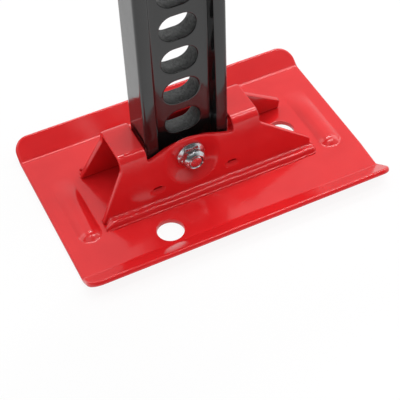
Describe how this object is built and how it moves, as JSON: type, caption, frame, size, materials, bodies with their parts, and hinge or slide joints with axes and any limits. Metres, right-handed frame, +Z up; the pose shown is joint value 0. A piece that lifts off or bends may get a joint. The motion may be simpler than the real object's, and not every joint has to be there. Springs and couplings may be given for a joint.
{
  "type": "high lift jack",
  "caption": "Farm jack with a pressed red base plate and foot bracket, black slotted rack bar, climbing runners with a lifting nose, pump handle and top clevis with a clamp jaw.",
  "frame": {"origin": "centre of the base plate's flat underside, between its two bend lines", "axes": "+Z up along the rack bar, +X along the plate's long side towards the lifting nose, and the foot nut and the reversing latch face -Y"},
  "size_m": [0.18, 0.1325, 0.9215],
  "materials": {
    "red_enamel": "glossy baked enamel on pressed and cast steel",
    "black_enamel": "glossy black baked enamel",
    "zinc_plate": "bright zinc plate",
    "spring_steel": "oiled spring steel and dark zinc",
    "black_plastic": "moulded black plastic"
  },
  "bodies": {
    "frame": {"base_plate": "red_enamel", "foot_bracket": "red_enamel", "foot_welds": "red_enamel", "rack_bar": "black_enamel", "foot_bolt": "zinc_plate", "foot_nut": "zinc_plate", "top_clevis": "red_enamel", "clamp_jaw": "red_enamel", "clamp_bolt": "zinc_plate", "clamp_nut": "zinc_plate", "jaw_bolt": "zinc_plate", "jaw_nut": "zinc_plate", "handle_clip": "spring_steel", "clip_screws": "zinc_plate"},
    "large_runner": {"large_runner": "red_enamel", "pivot_bolt": "spring_steel", "pivot_nut": "zinc_plate", "latch_pin": "zinc_plate", "upper_pin_spring": "spring_steel"},
    "handle": {"handle_socket": "red_enamel", "handle_tube": "black_enamel", "handle_end_plug": "black_plastic", "socket_bolt": "zinc_plate", "socket_nut": "zinc_plate", "pitman_pins": "zinc_plate"},
    "pitmans": {"pitman_front": "red_enamel", "pitman_back": "red_enamel"},
    "small_runner": {"small_runner": "red_enamel", "pitman_bolt": "zinc_plate", "pitman_nut": "zinc_plate", "lower_pin_spring": "spring_steel"},
    "upper_pin": {"upper_climbing_pin": "zinc_plate", "upper_cross_pin": "spring_steel"},
    "lower_pin": {"lower_climbing_pin": "zinc_plate", "lower_cross_pin": "spring_steel"},
    "latch": {"reversing_latch": "red_enamel"}
  },
  "joints": [
    {"name": "runner_lift", "type": "slide", "parent": "frame", "child": "large_runner", "axis": [0, 0, 1], "range_m": [-0.126, 0.42]},
    {"name": "handle_pump", "type": "hinge", "parent": "large_runner", "child": "handle", "pos_m": [-0.0616, 0.002, 0.2885], "axis": [0, 1, 0], "range_deg": [-90, 0]},
    {"name": "small_runner_climb", "type": "slide", "parent": "large_runner", "child": "small_runner", "axis": [0, 0, 1], "range_m": [-0.0228, 0]},
    {"name": "pitman_swing", "type": "hinge", "parent": "handle", "child": "pitmans", "pos_m": [-0.07291, 0.002, 0.29981], "axis": [0, 1, 0], "range_deg": [0, 90.5]},
    {"name": "upper_pin_slide", "type": "slide", "parent": "large_runner", "child": "upper_pin", "axis": [0, 1, 0], "range_m": [0, 0.013], "stiffness_N_per_m": 400, "deforming": ["upper_pin_spring"]},
    {"name": "lower_pin_slide", "type": "slide", "parent": "small_runner", "child": "lower_pin", "axis": [0, 1, 0], "range_m": [0, 0.013], "stiffness_N_per_m": 400, "deforming": ["lower_pin_spring"]},
    {"name": "latch_flip", "type": "hinge", "parent": "large_runner", "child": "latch", "pos_m": [-0.0096, -0.0256, 0.3155], "axis": [-1, 0, 0], "range_deg": [0, 80]}
  ],
  "couplings": [
    {"joint": "small_runner_climb", "follows": "handle_pump", "m_per_rad": 0.014405},
    {"joint": "pitman_swing", "follows": "handle_pump", "ratio": -1}
  ]
}
